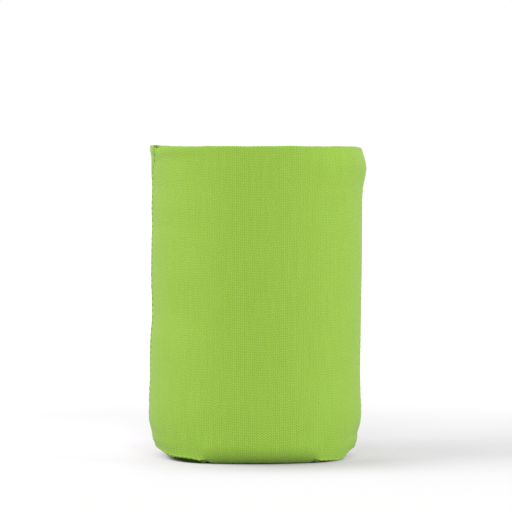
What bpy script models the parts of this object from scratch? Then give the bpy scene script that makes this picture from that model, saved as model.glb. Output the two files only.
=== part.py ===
"""A can cooler sleeve, open at the top, in the round shape that it takes in use.

One sheet of foam with a knit face on both sides is cut as two wall panels joined by a round
floor. It folds up along a short straight fold at the front and another at the back. The panels'
ends butt at the left and the right, and the floor's round edges butt with the panels' lower
edges. A lockstitch zigzag crosses each joint, with its needle thread on the outer face and its
bobbin thread on the inner face.

The sleeve stands on the XY plane with its middle over the origin. Its front looks along -Y, and
its side seams are at +X and -X. Lengths are in metres.
"""

import math
from typing import NamedTuple

import bmesh
import bpy
from mathutils import Vector

# The sheet, and the round cup that it makes
CAVITY_RADIUS = 0.0332
SHEET_THICKNESS = 0.0027
SLEEVE_HEIGHT = 0.1055
RIM_ROUNDING = 0.0004

# The uncut fold between the floor and each wall panel, and how softly it starts at each end
FOLD_WIDTH = 0.0398
FOLD_START_LENGTH = 0.0026

# The open edge of each butt joint, and the low ridge that the stitches raise along a side seam
NOTCH_WIDTH = 0.0008
NOTCH_DEPTH = 0.0005
RIDGE_HEIGHT = 0.00025
RIDGE_SPREAD = 0.0016

# The zigzag: STITCH_LENGTH is one step out and back, along the seam
THREAD_DIAMETER = 0.0003
THREAD_GAP = 0.00015
STITCH_LENGTH = 0.00205
STITCH_WIDTH = 0.0022
SIDE_STITCH_START = 0.0026
SIDE_STITCH_END = 0.0014

# The mesh: its columns round the axis, which stand closer beside a side seam (in half-widths of
# the notch) and where a fold starts (in fold start lengths from the base seam's end)
COLUMN_STEP = math.radians(5.0)
COLUMN_CLEARANCE = 0.4 * COLUMN_STEP
SEAM_COLUMNS = (0.0, 1.0, 2.5, 5.0, 9.0)
FOLD_COLUMNS = (-1.0, 0.0, 0.5, 1.0, 2.0)
# Its rows: shares of the floor's bend, shares of the wall's bend, and rows of the upright wall
FLOOR_SHARES = (1.0, 0.5)
WALL_SHARES = (0.35, 0.7, 1.0)
WALL_ROWS = 4
# The steps of a line that stitches are measured along, and how far a thread's corner may reach
# out, in half-widths of the thread
LINE_STEPS = 8
CORNER_REACH = 2.2

# Finish: linear colours
KNIT_GREEN = (0.33, 0.57, 0.085, 1.0)
KNIT_ROUGHNESS = 0.85
THREAD_GREEN = (0.40, 0.62, 0.14, 1.0)
THREAD_ROUGHNESS = 0.55


class Turn(NamedTuple):
    """How the sheet turns from floor to wall at one place, on its inner face."""

    edge_inset: float  # wall to the line where floor and wall meet
    edge_rise: float  # flat floor to that line
    slope: float  # the sheet's mean slope at that line
    crease: float  # how far floor and wall each lean away from that slope
    floor_ease: float  # how far the floor's bend reaches past its straight slope
    wall_ease: float  # how far the wall's bend reaches past its straight slope


AT_SIDE_SEAM = Turn(
    edge_inset=0.0012,
    edge_rise=0.0028,
    slope=math.radians(62.0),
    crease=math.radians(8.0),
    floor_ease=0.0012,
    wall_ease=0.0029,
)
AT_SEAM_END = Turn(
    edge_inset=0.0015,
    edge_rise=0.00045,
    slope=math.radians(45.0),
    crease=math.radians(20.0),
    floor_ease=0.0007,
    wall_ease=0.0013,
)
AT_FOLD_MIDDLE = Turn(
    edge_inset=0.0021,
    edge_rise=0.00065,
    slope=math.radians(26.0),
    crease=0.0,
    floor_ease=0.0016,
    wall_ease=0.0021,
)
# How fast the base seam drops away from the foot of the side seam
SEAM_DROP_POWER = 1.4

OUTER_RADIUS = CAVITY_RADIUS + SHEET_THICKNESS
THREAD_RADIUS = THREAD_DIAMETER / 2
THREAD_LIFT = THREAD_GAP + THREAD_RADIUS


class Spot(NamedTuple):
    """A point of the section through the axis, with the sheet's slope there."""

    radius: float
    height: float
    slope: float


def offset(spot, distance):
    """The spot moved square to the sheet, towards the outer face."""
    return Spot(
        spot.radius + distance * math.sin(spot.slope),
        spot.height - distance * math.cos(spot.slope),
        spot.slope,
    )


def smooth(share):
    share = min(1.0, max(0.0, share))
    return share * share * (3 - 2 * share)


def mix(first, second, share):
    return [a + (b - a) * share for a, b in zip(first, second)]


def edge_spot(turn):
    return Spot(
        CAVITY_RADIUS - turn.edge_inset, SHEET_THICKNESS + turn.edge_rise, turn.slope
    )


def outer_edge_spot(turn):
    return offset(edge_spot(turn), SHEET_THICKNESS / math.cos(turn.crease))


SEAM_END_ANGLE = math.acos(FOLD_WIDTH / 2 / outer_edge_spot(AT_SEAM_END).radius)
FOLD_START_ANGLE = FOLD_START_LENGTH / OUTER_RADIUS


def seam_share(angle):
    """1 along a base seam and 0 along a fold, for an angle from the nearest side seam."""
    return 1 - smooth((angle - SEAM_END_ANGLE) / FOLD_START_ANGLE)


def turn_at(angle):
    """The turn from floor to wall at an angle from the nearest side seam."""
    if angle < SEAM_END_ANGLE:
        share = (1 - angle / SEAM_END_ANGLE) ** SEAM_DROP_POWER
        return Turn(*mix(AT_SEAM_END, AT_SIDE_SEAM, share))
    share = smooth((angle - SEAM_END_ANGLE) / (math.pi / 2 - SEAM_END_ANGLE))
    turn = Turn(*mix(AT_SEAM_END, AT_FOLD_MIDDLE, share))
    return turn._replace(crease=turn.crease * seam_share(angle))


def bend(start, control, end, share):
    """A spot on the quadratic curve that leaves start and reaches end through control."""
    before = mix(start, control, share)
    after = mix(control, end, share)
    radius, height = mix(before, after, share)
    return Spot(
        radius, height, math.atan2(after[1] - before[1], after[0] - before[0])
    )


def floor_line(turn, shares):
    """Spots of the inner face from the edge line to the flat floor."""
    edge = edge_spot(turn)
    slope = turn.slope - turn.crease
    control = (edge.radius - turn.edge_rise / math.tan(slope), SHEET_THICKNESS)
    flat = (control[0] - turn.floor_ease, SHEET_THICKNESS)
    return [bend(flat, control, edge[:2], 1 - share) for share in shares]


def wall_line(turn, shares):
    """Spots of the inner face from the edge line to the upright wall."""
    edge = edge_spot(turn)
    slope = turn.slope + turn.crease
    control = (CAVITY_RADIUS, edge.height + turn.edge_inset * math.tan(slope))
    foot = (CAVITY_RADIUS, control[1] + turn.wall_ease)
    return [bend(edge[:2], control, foot, share) for share in shares]


def notch_spots(turn, depth):
    """The outer face across the edge line: one lip, the notch's foot and the other lip."""
    edge = edge_spot(turn)
    half = NOTCH_WIDTH / 2 / SHEET_THICKNESS
    reach = SHEET_THICKNESS / math.cos(max(0.0, turn.crease - half))
    middle = SHEET_THICKNESS / math.cos(turn.crease) - depth
    low = offset(edge._replace(slope=turn.slope - half), reach)
    high = offset(edge._replace(slope=turn.slope + half), reach)
    return low, offset(edge, middle), high


def side_relief(distance):
    """How far the outer face stands out at a distance along it from a side seam."""
    ridge = RIDGE_HEIGHT * math.exp(-((distance / RIDGE_SPREAD) ** 2))
    return ridge - notch_relief(distance)


def notch_relief(distance):
    return NOTCH_DEPTH * max(0.0, 1 - distance / (NOTCH_WIDTH / 2))


def section(angle):
    """The sleeve's closed section at an angle from the nearest side seam.

    It runs from the flat underside out, up the outer face, over the rim, and down to the floor.
    """
    turn = turn_at(angle)
    distance = angle * OUTER_RADIUS
    swell = side_relief(distance)
    notch = notch_relief(distance)
    shoulder = SLEEVE_HEIGHT - RIM_ROUNDING

    under = [offset(spot, SHEET_THICKNESS) for spot in floor_line(turn, FLOOR_SHARES)]
    low, middle, high = notch_spots(turn, NOTCH_DEPTH * seam_share(angle))
    curve = wall_line(turn, WALL_SHARES)
    outside = [high] + [offset(spot, SHEET_THICKNESS) for spot in curve]
    foot = curve[-1].height
    points = [spot[:2] for spot in under + [low, middle]]
    points += [(spot.radius + swell, spot.height) for spot in outside]
    points += [
        (OUTER_RADIUS + swell, foot + (shoulder - foot) * row / WALL_ROWS)
        for row in range(1, WALL_ROWS + 1)
    ]
    points += [
        (OUTER_RADIUS - RIM_ROUNDING + swell, SLEEVE_HEIGHT - notch),
        (CAVITY_RADIUS + RIM_ROUNDING + notch, SLEEVE_HEIGHT - notch),
        (CAVITY_RADIUS + notch, shoulder),
    ]
    points += [(spot.radius + notch, spot.height) for spot in reversed(curve)]
    inside = reversed(floor_line(turn, FLOOR_SHARES + (0.0,)))
    points += [(spot.radius, spot.height) for spot in inside]
    return points


def column_angles():
    """Angles from a side seam to the middle of a fold, closer together where the shape changes."""
    marks = [NOTCH_WIDTH / 2 / OUTER_RADIUS * share for share in SEAM_COLUMNS]
    marks += [SEAM_END_ANGLE + FOLD_START_ANGLE * share for share in FOLD_COLUMNS]
    count = round(math.pi / 2 / COLUMN_STEP)
    steps = [math.pi / 2 * step / count for step in range(1, count + 1)]
    clear = [a for a in steps if min(abs(a - mark) for mark in marks) > COLUMN_CLEARANCE]
    return sorted(marks + clear)


def around(quarter):
    """Pairs of a full-turn angle and its angle from the nearest side seam."""
    half = [(angle, angle) for angle in quarter]
    half += [(math.pi - angle, angle) for angle in reversed(quarter[1:-1])]
    return half + [(math.pi + turn, angle) for turn, angle in half]


def upright(radius, height, turn):
    return Vector((radius * math.cos(turn), radius * math.sin(turn), height))


def material(name, colour, roughness):
    made = bpy.data.materials.new(name)
    made.use_nodes = True
    shader = made.node_tree.nodes["Principled BSDF"]
    shader.inputs["Base Color"].default_value = colour
    shader.inputs["Roughness"].default_value = roughness
    shader.inputs["Metallic"].default_value = 0.0
    made.diffuse_color = colour
    return made


def mesh_of(name, form, finish, sharp_angle):
    bmesh.ops.recalc_face_normals(form, faces=form.faces)
    mesh = bpy.data.meshes.new(name)
    form.to_mesh(mesh)
    form.free()
    mesh.materials.append(finish)
    mesh.shade_smooth()
    mesh.set_sharp_from_angle(angle=sharp_angle)
    return mesh


def place(name, mesh, turn=0.0):
    made = bpy.data.objects.new(name, mesh)
    made.rotation_euler.z = turn
    bpy.context.collection.objects.link(made)
    return made


def skin(form, rings):
    """Joins each ring of points to the next, and closes the first ring and the last."""
    loops = [[form.verts.new(point) for point in ring] for ring in rings]
    for lower, upper in zip(loops, loops[1:]):
        for k in range(len(lower)):
            following = (k + 1) % len(lower)
            form.faces.new((lower[k], lower[following], upper[following], upper[k]))
    form.faces.new(reversed(loops[0]))
    form.faces.new(loops[-1])


def sleeve_mesh(finish):
    """The folded sheet, from the underside round to the floor inside."""
    columns = [(turn, section(angle)) for turn, angle in around(column_angles())]
    rows = zip(*[[upright(*point, turn) for point in points] for turn, points in columns])
    form = bmesh.new()
    skin(form, list(rows))
    return mesh_of("sleeve_body", form, finish, math.radians(35))


def walk(line, distance):
    """The spot at a distance along a line of spots."""
    for start, end in zip(line, line[1:]):
        step = math.hypot(end.radius - start.radius, end.height - start.height)
        if distance <= step:
            return Spot(*mix(start, end, distance / step))
        distance -= step
    return line[-1]


def face_lines(angle):
    """The floor and wall lines of the inner face from the edge line, for walking along."""
    turn = turn_at(angle)
    shares = [step / LINE_STEPS for step in range(LINE_STEPS + 1)]
    floor = floor_line(turn, shares)
    wall = wall_line(turn, shares)
    floor.append(Spot(0.0, SHEET_THICKNESS, 0.0))
    wall.append(Spot(CAVITY_RADIUS, SLEEVE_HEIGHT, math.pi / 2))
    return floor, wall


def outer_line(line, turn):
    """The outer face along a line of the inner one, from the sewn edge on."""
    start = outer_edge_spot(turn)._replace(slope=line[0].slope)
    return [start] + [offset(spot, SHEET_THICKNESS) for spot in line]


def stitch_point(spot, turn, lift):
    """A point and its normal, for a thread that lies off the face at this spot."""
    lifted = offset(spot, lift)
    facing = offset(spot, math.copysign(1.0, lift))
    normal = upright(facing.radius - spot.radius, facing.height - spot.height, turn)
    return upright(lifted.radius, lifted.height, turn), normal


def side_zigzag(outside):
    """The path over the side seam at +X, from near the base seam to near the rim."""
    _, wall = face_lines(0.0)
    radius = OUTER_RADIUS if outside else CAVITY_RADIUS
    line = outer_line(wall, turn_at(0.0)) if outside else wall
    swing = STITCH_WIDTH / 2 / radius
    length = SLEEVE_HEIGHT - line[0].height - SIDE_STITCH_START - SIDE_STITCH_END
    count = int(length / (STITCH_LENGTH / 2))
    lift = THREAD_LIFT + side_relief(NOTCH_WIDTH / 2) if outside else -THREAD_LIFT
    path = []
    for step in range(count + 1):
        spot = walk(line, SIDE_STITCH_START + step * STITCH_LENGTH / 2)
        path.append(stitch_point(spot, swing if step % 2 else -swing, lift))
    return path


def base_zigzag(outside):
    """The path over the base seam round +X, from one fold to the other."""
    seam_radius = outer_edge_spot(AT_SEAM_END).radius
    reach = SEAM_END_ANGLE
    count = 2 * int(reach * seam_radius / (STITCH_LENGTH / 2))
    path = []
    for step in range(count + 1):
        turn = reach * (2 * step / count - 1)
        floor, wall = face_lines(abs(turn))
        line = floor if step % 2 else wall
        if outside:
            line = outer_line(line, turn_at(abs(turn)))
        spot = walk(line, STITCH_WIDTH / 2)
        path.append(stitch_point(spot, turn, THREAD_LIFT if outside else -THREAD_LIFT))
        if outside and step < count:
            path.append(crest_point(turn + reach / count))
    return path


def crest_point(turn):
    """Where an outer stitch passes over the edge line."""
    corner = turn_at(abs(turn))
    edge = outer_edge_spot(corner)
    return stitch_point(edge, turn, THREAD_LIFT / math.cos(corner.crease))


def mitre(before, after, normal):
    """The sideways vector, for a half-width of 1, that turns a flat band at a corner."""
    first = normal.cross(before).normalized()
    second = normal.cross(after).normalized()
    full = (first + second) / (1 + first.dot(second))
    return full * min(1.0, CORNER_REACH / full.length)


def thread_mesh(name, path, finish):
    """A four-sided thread along a path of points and normals."""
    points = [point for point, _ in path]
    steps = [b - a for a, b in zip(points, points[1:])]
    rings = []
    for k, (point, normal) in enumerate(path):
        side = mitre(steps[max(0, k - 1)], steps[min(k, len(steps) - 1)], normal)
        up = normal * THREAD_RADIUS
        side = side * THREAD_RADIUS
        rings.append([point + side, point + up, point - side, point - up])
    form = bmesh.new()
    skin(form, rings)
    return mesh_of(name, form, finish, math.radians(60))


def main():
    for old in list(bpy.data.objects):
        bpy.data.objects.remove(old)

    knit = material("knit_faced_foam", KNIT_GREEN, KNIT_ROUGHNESS)
    place("sleeve_body", sleeve_mesh(knit))

    for seam, zigzag in (("side", side_zigzag), ("base", base_zigzag)):
        for kind, outside in (("needle", True), ("bobbin", False)):
            name = f"{seam}_{kind}_thread"
            finish = material(name, THREAD_GREEN, THREAD_ROUGHNESS)
            mesh = thread_mesh(name, zigzag(outside), finish)
            place(f"right_{name}", mesh)
            place(f"left_{name}", mesh, math.pi)


main()
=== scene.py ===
"""The looks of the can cooler sleeve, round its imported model.

The sleeve is one sheet of foam with a knit face on both sides, sewn up with a zigzag at each side
and along the base. Lengths are in metres. The front looks along -Y and the side seams are at +X
and -X. A turn is an angle about +Z from +X; an angle is measured from the nearest side seam.
"""

import math
from typing import NamedTuple

import bpy
import numpy as np
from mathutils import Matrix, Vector


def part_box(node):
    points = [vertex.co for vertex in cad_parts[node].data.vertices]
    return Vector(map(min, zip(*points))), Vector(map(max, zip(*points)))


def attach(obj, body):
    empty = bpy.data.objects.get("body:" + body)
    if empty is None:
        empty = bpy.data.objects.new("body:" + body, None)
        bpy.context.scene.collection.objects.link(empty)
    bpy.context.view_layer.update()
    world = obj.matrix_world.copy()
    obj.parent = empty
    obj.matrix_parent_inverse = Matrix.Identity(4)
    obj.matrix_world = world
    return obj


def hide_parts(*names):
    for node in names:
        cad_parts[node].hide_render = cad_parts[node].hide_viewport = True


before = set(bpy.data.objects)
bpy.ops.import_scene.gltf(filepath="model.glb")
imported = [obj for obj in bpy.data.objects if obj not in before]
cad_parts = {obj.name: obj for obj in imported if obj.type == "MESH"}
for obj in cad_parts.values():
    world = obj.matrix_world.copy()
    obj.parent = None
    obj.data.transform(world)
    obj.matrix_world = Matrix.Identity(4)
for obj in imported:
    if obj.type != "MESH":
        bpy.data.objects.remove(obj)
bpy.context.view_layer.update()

MM = 0.001

# The sheet and the cup that it makes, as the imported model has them
BODY_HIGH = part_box("sleeve_body")[1]
SLEEVE_HEIGHT = BODY_HIGH.z
OUTER_RADIUS = BODY_HIGH.y
SHEET_THICKNESS = 2.7 * MM
CAVITY_RADIUS = OUTER_RADIUS - SHEET_THICKNESS
FOLD_WIDTH = 39.8 * MM
FOLD_START_LENGTH = 2.6 * MM
CORNER_LENGTH = 9.0 * MM
SEAM_DROP_POWER = 1.4

# The rim's raw edge: the knit's own thickness on each face, and how far the foam lies below it
RIM_ROUNDING = 0.4 * MM
KNIT_THICKNESS = 0.34 * MM
CORE_DROP = 0.14 * MM

# The zigzag; along the base it lies mostly on the underside
STITCH_LENGTH = 2.05 * MM
STITCH_WIDTH = 2.4 * MM
BASE_STITCH_WIDTH = 2.2 * MM
BASE_STITCH_SHIFT = -0.65 * MM
SIDE_STITCH_START = 2.6 * MM
SIDE_STITCH_END = 1.4 * MM
THREAD_RADIUS = 0.15 * MM
THREAD_SIDES = 8

# The camera, from the photograph: its place round the sleeve, and how it looks down
CAMERA_AZIMUTH = math.radians(-3.2)
CAMERA_DISTANCE = 1.0
CAMERA_HEIGHT = 0.0976
CAMERA_PITCH = math.radians(1.683)
CAMERA_LENS = 205.8
SENSOR_WIDTH = 36.0

# Linear colours
KNIT_GREEN = (0.326, 0.544, 0.066)
# KNIT_SHADE is painted shade, laid in the gaps between the knit's stitches
KNIT_SHADE = (0.205, 0.385, 0.028)
FOAM_GREEN = (0.150, 0.275, 0.035)
# The foam in a gaping base seam is painted near black, as the shade in the gap
GAP_SHADE_GREEN = (0.038, 0.084, 0.006)
THREAD_GREEN = (0.370, 0.600, 0.105)

# The knit: the width of a column of stitches and the height of a row
WALE = 1.30 * MM
COURSE = 0.84 * MM


class Turn(NamedTuple):
    """How the sheet turns from floor to wall at one place, on its inner face."""

    edge_inset: float
    edge_rise: float
    slope: float
    crease: float
    floor_ease: float
    wall_ease: float


AT_SIDE_SEAM = Turn(0.9 * MM, 2.8 * MM, math.radians(55), math.radians(24), 1.2 * MM, 2.9 * MM)
AT_SEAM_END = Turn(0.6 * MM, 0.8 * MM, math.radians(45), math.radians(38), 0.7 * MM, 1.3 * MM)
AT_FOLD_START = Turn(1.6 * MM, 0.8 * MM, math.radians(43), 0.0, 0.8 * MM, 1.4 * MM)
AT_FOLD_MIDDLE = Turn(2.1 * MM, 0.65 * MM, math.radians(26), 0.0, 1.6 * MM, 2.1 * MM)


class Spot(NamedTuple):
    """A point of the section through the axis, with the sheet's slope there."""

    radius: float
    height: float
    slope: float


def offset(spot, distance):
    """The spot moved square to the sheet, towards the outer face."""
    return Spot(
        spot.radius + distance * math.sin(spot.slope),
        spot.height - distance * math.cos(spot.slope),
        spot.slope,
    )


def smooth(share):
    """0 up to a share of 0, 1 from a share of 1 on, and an even change between."""
    share = np.clip(share, 0.0, 1.0)
    return share * share * (3 - 2 * share)


def ridge(place, middle, width):
    """1 at the middle, falling off to nothing on both sides."""
    return np.exp(-(((place - middle) / width) ** 2))


class Ridge(NamedTuple):
    """A rounded ridge: how high it stands, where its middle lies and how wide it is."""

    height: float
    middle: float
    width: float

    def at(self, place):
        """How high it stands at a place."""
        return self.height * ridge(place, self.middle, self.width)


def mix(first, second, share):
    """The values at a share of the way from the first ones to the second ones."""
    return [a + (b - a) * share for a, b in zip(first, second)]


def edge_spot(turn):
    """The sewn edge of the inner face."""
    return Spot(CAVITY_RADIUS - turn.edge_inset, SHEET_THICKNESS + turn.edge_rise, turn.slope)


def outer_edge_spot(turn):
    """The sewn edge of the outer face."""
    return offset(edge_spot(turn), SHEET_THICKNESS / math.cos(turn.crease))


SEAM_END_RADIUS = outer_edge_spot(AT_SEAM_END).radius
SEAM_END_ANGLE = math.acos(FOLD_WIDTH / 2 / SEAM_END_RADIUS)
FOLD_START_ANGLE = FOLD_START_LENGTH / OUTER_RADIUS
CORNER_ANGLE = CORNER_LENGTH / OUTER_RADIUS

# The zigzag's steps along half of a base seam, from a side seam to a fold
BASE_STEPS = int(SEAM_END_ANGLE * SEAM_END_RADIUS / (STITCH_LENGTH / 2))


def seam_share(angle):
    """1 along a base seam and 0 along a fold."""
    return 1 - smooth((angle - SEAM_END_ANGLE) / FOLD_START_ANGLE)


def turn_at(angle):
    """The turn from floor to wall at an angle from the nearest side seam."""
    if angle < SEAM_END_ANGLE:
        share = (1 - angle / SEAM_END_ANGLE) ** SEAM_DROP_POWER
        return Turn(*mix(AT_SEAM_END, AT_SIDE_SEAM, share))
    share = smooth((angle - SEAM_END_ANGLE) / (math.pi / 2 - SEAM_END_ANGLE))
    fold = mix(AT_FOLD_START, AT_FOLD_MIDDLE, share)
    eased = 1 - smooth((angle - SEAM_END_ANGLE) / CORNER_ANGLE)
    turn = Turn(*mix(fold, AT_SEAM_END, eased))
    return turn._replace(crease=AT_SEAM_END.crease * seam_share(angle))


def bend(start, control, end, share):
    """A spot on the quadratic curve that leaves start and reaches end through control."""
    before = mix(start, control, share)
    after = mix(control, end, share)
    radius, height = mix(before, after, share)
    return Spot(radius, height, math.atan2(after[1] - before[1], after[0] - before[0]))


LINE_STEPS = 12


def face_lines(angle):
    """The floor line and the wall line of the inner face, each from the edge line on."""
    turn = turn_at(angle)
    edge = edge_spot(turn)
    shares = [step / LINE_STEPS for step in range(LINE_STEPS + 1)]

    slope = turn.slope - turn.crease
    control = (edge.radius - turn.edge_rise / math.tan(slope), SHEET_THICKNESS)
    flat = (control[0] - turn.floor_ease, SHEET_THICKNESS)
    floor = [bend(flat, control, edge[:2], 1 - share) for share in shares]
    floor.append(Spot(0.0, SHEET_THICKNESS, 0.0))

    slope = turn.slope + turn.crease
    control = (CAVITY_RADIUS, edge.height + turn.edge_inset * math.tan(slope))
    foot = (CAVITY_RADIUS, control[1] + turn.wall_ease)
    wall = [bend(edge[:2], control, foot, share) for share in shares]
    wall.append(Spot(CAVITY_RADIUS, SLEEVE_HEIGHT, math.pi / 2))
    return floor, wall


def outer_line(line, turn):
    """The outer face along a line of the inner one, from the sewn edge on."""
    start = outer_edge_spot(turn)._replace(slope=line[0].slope)
    return [start] + [offset(spot, SHEET_THICKNESS) for spot in line]


def walk(line, distance):
    """The spot at a distance along a line of spots."""
    for start, end in zip(line, line[1:]):
        step = math.hypot(end.radius - start.radius, end.height - start.height)
        if distance <= step:
            return Spot(*mix(start, end, distance / step))
        distance -= step
    return line[-1]


# The wall's section at a side seam, on each face, and the height of its first needle hole
INNER_SEAM_LINE = face_lines(0.0)[1]
OUTER_SEAM_LINE = outer_line(INNER_SEAM_LINE, turn_at(0.0))
SIDE_START = walk(OUTER_SEAM_LINE, SIDE_STITCH_START).height

# How far each side stands out from the plain cup, by height, both in millimetres
LEFT_REACH = (
    (0, 0.1), (1.9, -0.8), (4, -0.4), (5.7, 0.2), (8.7, 0.05), (10.8, 0.5), (14, 0.6),
    (19, 0.53), (27, 0.35), (36.4, 0.33), (41.5, 0.13), (45.6, -0.28), (48.7, -0.45),
    (60, -0.2), (67, -0.15), (75, -0.28), (78.4, -0.45), (84.6, -0.22), (91.7, -0.44),
    (97, -0.22), (101.5, -0.2), (104, 0.3), (105.5, 0.2),
)
RIGHT_REACH = (
    (0, -1.6), (1.2, -2.2), (2.6, -1.4), (4.2, -0.8), (5.7, -0.5), (8, -0.95), (10.8, -0.25),
    (14, 0.0), (17, 0.05), (21, -0.2), (28, -0.3), (45, -0.05), (62, 0.25), (78, 0.35), (88, 0.4),
    (92, 0.65), (96, 1.4), (99, 1.85), (102, 1.4), (104, 0.7), (105.5, 0.3),
)
REACH_STEP = 0.5 * MM

# Small puckers along the left seam, by height and size, both in millimetres
LEFT_PUCKERS = (
    (12.9, 0.10), (15.4, 0.16), (19.5, 0.20), (23.1, 0.12), (57.9, 0.12), (62.4, 0.15),
)
PUCKER_HEIGHT = 1.2 * MM
PUCKER_WIDTH = 6 * MM

# How sharply each side's reach fades towards the front and the back: at the base, on the right
# there, and on the wall above, and the heights between which that changes
BASE_FADING, RIGHT_BASE_FADING, WALL_FADING = 6, 4, 2
FADING_FOOT, FADING_TOP = 8 * MM, 18 * MM


def reach_curve(points):
    """Heights and reaches through the given points, with the corners rounded off."""
    heights, reaches = np.array(points).T * MM
    fine = np.arange(0.0, SLEEVE_HEIGHT + REACH_STEP, REACH_STEP)
    line = np.interp(fine, heights, reaches)
    window = np.hanning(7)
    padded = np.pad(line, 3, mode="edge")
    return fine, np.convolve(padded, window / window.sum(), mode="valid")


LEFT_CURVE = reach_curve(LEFT_REACH)
RIGHT_CURVE = reach_curve(RIGHT_REACH)

# How far the left seam lies in front of -X, in degrees, by height in millimetres
LEFT_WANDER = ((0, 0), (12, 0), (40, 5), (80, 4), (94, 5), (98.5, 8.5), (102, 13.5), (105.5, 14.5))
WANDER_REACH = math.radians(75)


def turn_from(turn, centre):
    """The turn measured from a centre, from -pi to pi."""
    return (turn - centre + math.pi) % (2 * math.pi) - math.pi


def wander(turn, height):
    """How far the sheet is turned about the axis at one place."""
    heights, degrees = np.array(LEFT_WANDER).T
    near = smooth(1 - np.abs(turn_from(turn, math.pi)) / WANDER_REACH)
    return np.radians(np.interp(height / MM, heights, degrees)) * near


def side_swell(turn, height):
    """How far the whole sheet stands out from the plain cup.

    The reach of each side fades towards the front and the back, and sooner near the base.
    """
    across = np.cos(turn)
    above = smooth((height - FADING_FOOT) / (FADING_TOP - FADING_FOOT))
    fading = BASE_FADING + (WALL_FADING - BASE_FADING) * above
    right_fading = np.minimum(fading, RIGHT_BASE_FADING)
    right = np.interp(height, *RIGHT_CURVE) * np.clip(across, 0, 1) ** right_fading
    left = np.interp(height, *LEFT_CURVE) * np.clip(-across, 0, 1) ** fading
    from_seam = turn_from(turn, math.pi) * OUTER_RADIUS
    puckers = 0.0
    for middle, size in LEFT_PUCKERS:
        puckers = puckers + size * MM * ridge(height, middle * MM, PUCKER_HEIGHT)
    return right + left + puckers * ridge(from_seam, 0.0, PUCKER_WIDTH)


# The sheet's waves: their count all round, climb per metre, phase and size in millimetres
SLACK_WAVES = (
    (2, 31.0, 0.3, 0.05),
    (3, 47.0, 1.9, 0.05),
    (5, 78.0, 4.1, 0.035),
    (7, 62.0, 2.6, 0.03),
    (11, 120.0, 5.2, 0.02),
)
SLACK_FOOT = 14 * MM


def slack(turn, height):
    """The sheet's slight unevenness over the can."""
    total = 0.0
    for count, climb, phase, size in SLACK_WAVES:
        total = total + size * MM * np.sin(count * turn + climb * height + phase)
    return total * smooth(height / SLACK_FOOT)


# The rim: its dip by each side seam, its rise behind the left one, the waves along it by count,
# phase and size, and the height where all that starts
RIGHT_RIM_DIP = Ridge(1.2 * MM, 0.0, 7.5 * MM)
LEFT_RIM_DIP = Ridge(0.5 * MM, 3.2 * MM, 3.0 * MM)
BACK_RIM_RISE = 0.55 * MM
BACK_RISE_START, BACK_RISE_FADE, BACK_RISE_END = 2.5 * MM, 21 * MM, 36 * MM
RIM_WAVES = ((9, 1.0, 0.06 * MM), (23, 0.0, 0.04 * MM))
RIM_LIFT_FOOT = 80 * MM


def rim_lift(turn):
    """How far the rim lies above its mean height."""
    right = turn_from(turn, 0.0) * OUTER_RADIUS
    left = turn_from(turn, math.pi) * OUTER_RADIUS
    fade = smooth((BACK_RISE_END + left) / (BACK_RISE_END - BACK_RISE_FADE))
    lift = BACK_RIM_RISE * smooth(-left / BACK_RISE_START) * fade
    lift = lift - RIGHT_RIM_DIP.at(right) - LEFT_RIM_DIP.at(left)
    for count, phase, size in RIM_WAVES:
        lift = lift + size * np.sin(count * turn + phase)
    return lift


# How far the base's corners sag, in millimetres, by the angle in front of each side seam
RIGHT_SAG = (
    (-90, 0.0), (-25, 0.1), (0, 0.0), (14, -0.4), (18, -0.65), (22, -0.6), (25, -0.45), (28, 0.0),
    (31, 0.75), (34, 1.3), (38, 1.35), (42, 1.05), (47, 0.65), (53, 0.25), (60, 0.0), (90, 0.0),
)
LEFT_SAG = (
    (-90, 0.0), (-50, 0.2), (-30, 0.1), (0, 0.0), (12, -0.4), (18, -0.45), (23, -0.2), (28, 0.2),
    (33, 0.1), (38, -0.1), (44, -0.35), (50, -0.35), (54, -0.1), (60, 0.0), (90, 0.0),
)
SAG_HEIGHT = 14 * MM
FLAT_FLOOR_RADIUS = 23 * MM
SAGGING_FLOOR_RADIUS = 31 * MM


def sag(turn, radius, height):
    """How far a place near the base hangs below its place on the plain cup."""
    right = np.degrees(turn_from(turn, 0.0))
    left = np.degrees(turn_from(turn, math.pi))
    depth = np.where(
        on_left(turn),
        np.interp(left, *np.array(LEFT_SAG).T),
        np.interp(-right, *np.array(RIGHT_SAG).T),
    )
    sagging_width = SAGGING_FLOOR_RADIUS - FLAT_FLOOR_RADIUS
    past_flat = smooth((radius - FLAT_FLOOR_RADIUS) / sagging_width)
    return depth * MM * past_flat * (1 - smooth(height / SAG_HEIGHT))


def settle(turn, radius, height):
    """Where a place of the plain cup really lies, as a list of x, y and z."""
    share = smooth((height - RIM_LIFT_FOOT) / (SLEEVE_HEIGHT - RIM_LIFT_FOOT))
    out = radius + (side_swell(turn, height) + slack(turn, height)) * radius / OUTER_RADIUS
    where = turn + wander(turn, height)
    lifted = height + rim_lift(turn) * share - sag(turn, radius, height)
    return [out * np.cos(where), out * np.sin(where), np.maximum(lifted, 0.0)]


def side_distance(turn):
    """The signed distance along the face from the nearest side seam."""
    return (turn_from(2 * turn, 0.0) / 2) * OUTER_RADIUS


def on_left(turn):
    """Whether the nearest side seam is the left one."""
    return np.cos(turn) < 0


def needle_holes(across, height, length, width):
    """1 at each needle hole of a side seam, falling off to nothing round it."""
    step = (height - SIDE_START) / (STITCH_LENGTH / 2)
    nearest = np.round(step)
    side = np.where(nearest % 2 == 1, 1.0, -1.0)
    off = (step - nearest) * STITCH_LENGTH / 2
    return ridge(off, 0.0, length) * ridge(across, side * STITCH_WIDTH / 2, width)


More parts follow.
